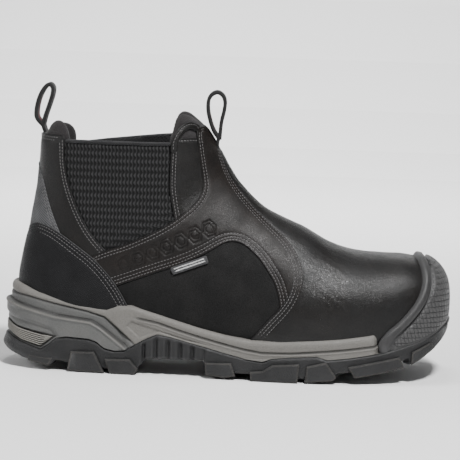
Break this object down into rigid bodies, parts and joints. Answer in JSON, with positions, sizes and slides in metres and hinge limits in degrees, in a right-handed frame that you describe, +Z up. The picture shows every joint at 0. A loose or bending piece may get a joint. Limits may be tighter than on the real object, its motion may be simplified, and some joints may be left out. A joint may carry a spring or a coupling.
{
  "type": "steel toe work boot",
  "caption": "Pull-on safety work boot for a right foot, with elastic side gores, fabric pull loops, a rubber toe guard over a steel cap and a lugged sole.",
  "frame": {"origin": "on the ground, under the middle of the boot's length and width", "axes": "+X towards the toe, +Y towards the inside of the foot, +Z up"},
  "size_m": [0.3117, 0.1126, 0.1961],
  "materials": {
    "outsole_rubber": "matt black oil-resistant rubber with a fine moulded grain",
    "midsole_foam": "warm grey moulded polyurethane foam",
    "toe_rubber": "charcoal rubber with a fine square grid",
    "steel": "bare pressed steel",
    "oiled_leather": "black full-grain oiled leather with a soft sheen and fine creases",
    "smooth_leather": "black smooth leather with an even pebble grain",
    "nubuck": "matt black nubuck",
    "guard_fabric": "black abrasion-resistant sheet embossed with small squares",
    "ribbed_guard": "dark grey sheet with fine slanted ribs",
    "elastic": "black ribbed elastic webbing",
    "collar_fabric": "dark grey brushed knit over foam",
    "lining_mesh": "black spacer mesh",
    "webbing": "black woven tape with a dark red stripe inside",
    "label": "dark woven label with plain stripes",
    "board": "tan fibreboard",
    "foam": "dark grey soft foam"
  },
  "bodies": {
    "boot": {"outsole": "outsole_rubber", "midsole": "midsole_foam", "shank": "steel", "toe_guard": "toe_rubber", "vamp": "oiled_leather", "heel_guard": "guard_fabric", "rear_guard": "ribbed_guard", "saddle_lateral": "smooth_leather", "saddle_medial": "smooth_leather", "side_panel_lateral": "nubuck", "side_panel_medial": "nubuck", "gore_lateral": "elastic", "gore_medial": "elastic", "gore_binding_lateral": "elastic", "gore_binding_medial": "elastic", "gore_facing_lateral": "oiled_leather", "gore_facing_medial": "oiled_leather", "rear_shaft_lateral": "oiled_leather", "rear_shaft_medial": "oiled_leather", "front_collar": "collar_fabric", "rear_collar": "collar_fabric", "side_tag": "label", "steel_toe_cap": "steel", "toe_cap_gasket": "outsole_rubber", "heel_counter": "board", "front_loop_tail": "webbing", "rear_loop_tail": "webbing", "front_collar_foam": "foam", "rear_collar_foam": "foam", "vamp_lining": "lining_mesh", "shaft_lining": "lining_mesh", "lasting_board": "board"},
    "footbed": {"footbed_foam": "foam", "footbed_cover": "lining_mesh"},
    "front_loop": {"front_pull_loop": "webbing"},
    "rear_loop": {"rear_pull_loop": "webbing"}
  },
  "joints": [
    {"name": "front_loop_fold", "type": "hinge", "parent": "boot", "child": "front_loop", "pos_m": [-0.0098, 0, 0.1604], "axis": [0, 1, 0], "range_deg": [0, 100], "stiffness_Nm_per_rad": 0.004},
    {"name": "rear_loop_fold", "type": "hinge", "parent": "boot", "child": "rear_loop", "pos_m": [-0.1326, 0, 0.1664], "axis": [0, -1, 0], "range_deg": [0, 95], "stiffness_Nm_per_rad": 0.004},
    {"name": "footbed_lift", "type": "hinge", "parent": "boot", "child": "footbed", "pos_m": [0.143, 0, 0.043], "axis": [0, 1, 0], "range_deg": [0, 9]}
  ]
}
